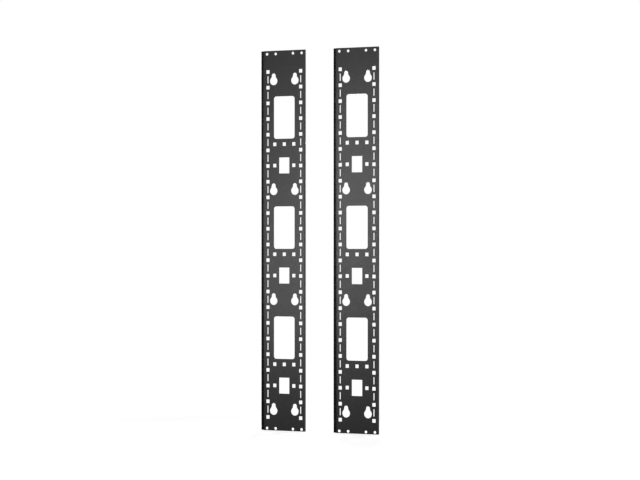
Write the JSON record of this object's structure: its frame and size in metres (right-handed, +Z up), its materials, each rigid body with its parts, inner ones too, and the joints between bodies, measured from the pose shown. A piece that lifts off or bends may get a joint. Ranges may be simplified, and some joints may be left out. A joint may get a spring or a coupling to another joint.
{
  "type": "vertical cable manager",
  "caption": "Pair of tall folded steel panels with square holes, strap slots, keyholes and cable windows, for routing cables down the side of a rack.",
  "frame": {"origin": "midway between the two panels, on the plane of their rear faces, halfway between the top and the bottom row of screw holes", "axes": "+Z up along the panels, +Y backwards into the rack frame that carries them, +X to the right as seen from the front"},
  "size_m": [0.6238, 0.016, 1.8432],
  "materials": {
    "black_powder_coat": "fine-textured satin black powder coat on steel sheet"
  },
  "bodies": {
    "root": {"left_panel": "black_powder_coat", "right_panel": "black_powder_coat"}
  },
  "joints": []
}
